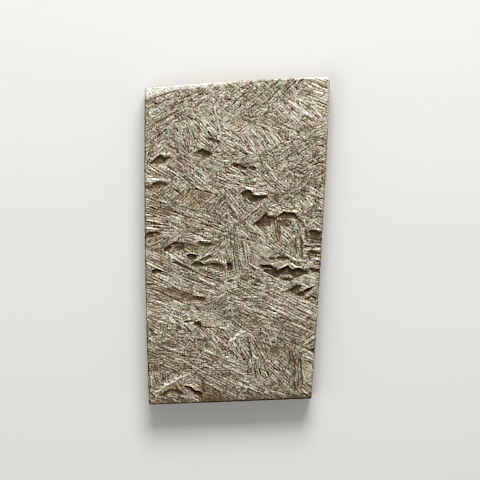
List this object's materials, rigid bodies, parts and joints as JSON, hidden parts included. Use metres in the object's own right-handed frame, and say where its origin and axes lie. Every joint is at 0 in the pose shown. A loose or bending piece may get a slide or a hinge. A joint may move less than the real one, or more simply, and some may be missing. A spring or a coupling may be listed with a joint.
{
  "type": "iron meteorite slice",
  "caption": "Thin sawn rectangular plate of iron meteorite, etched so that crossing lamellae stand out as fine ridges, furrows and leaf-shaped pits.",
  "frame": {"origin": "under the middle of the slice's box, on the plane of its back face", "axes": "+X across the slice, +Y along its length towards the wide end, +Z out of the etched front face"},
  "size_m": [0.0174, 0.0306, 0.003],
  "materials": {
    "etched_iron": "etched nickel-iron with crossing bright lamellae, grey land and brown oxide in the pits"
  },
  "bodies": {
    "root": {"meteorite_slice": "etched_iron"}
  },
  "joints": []
}
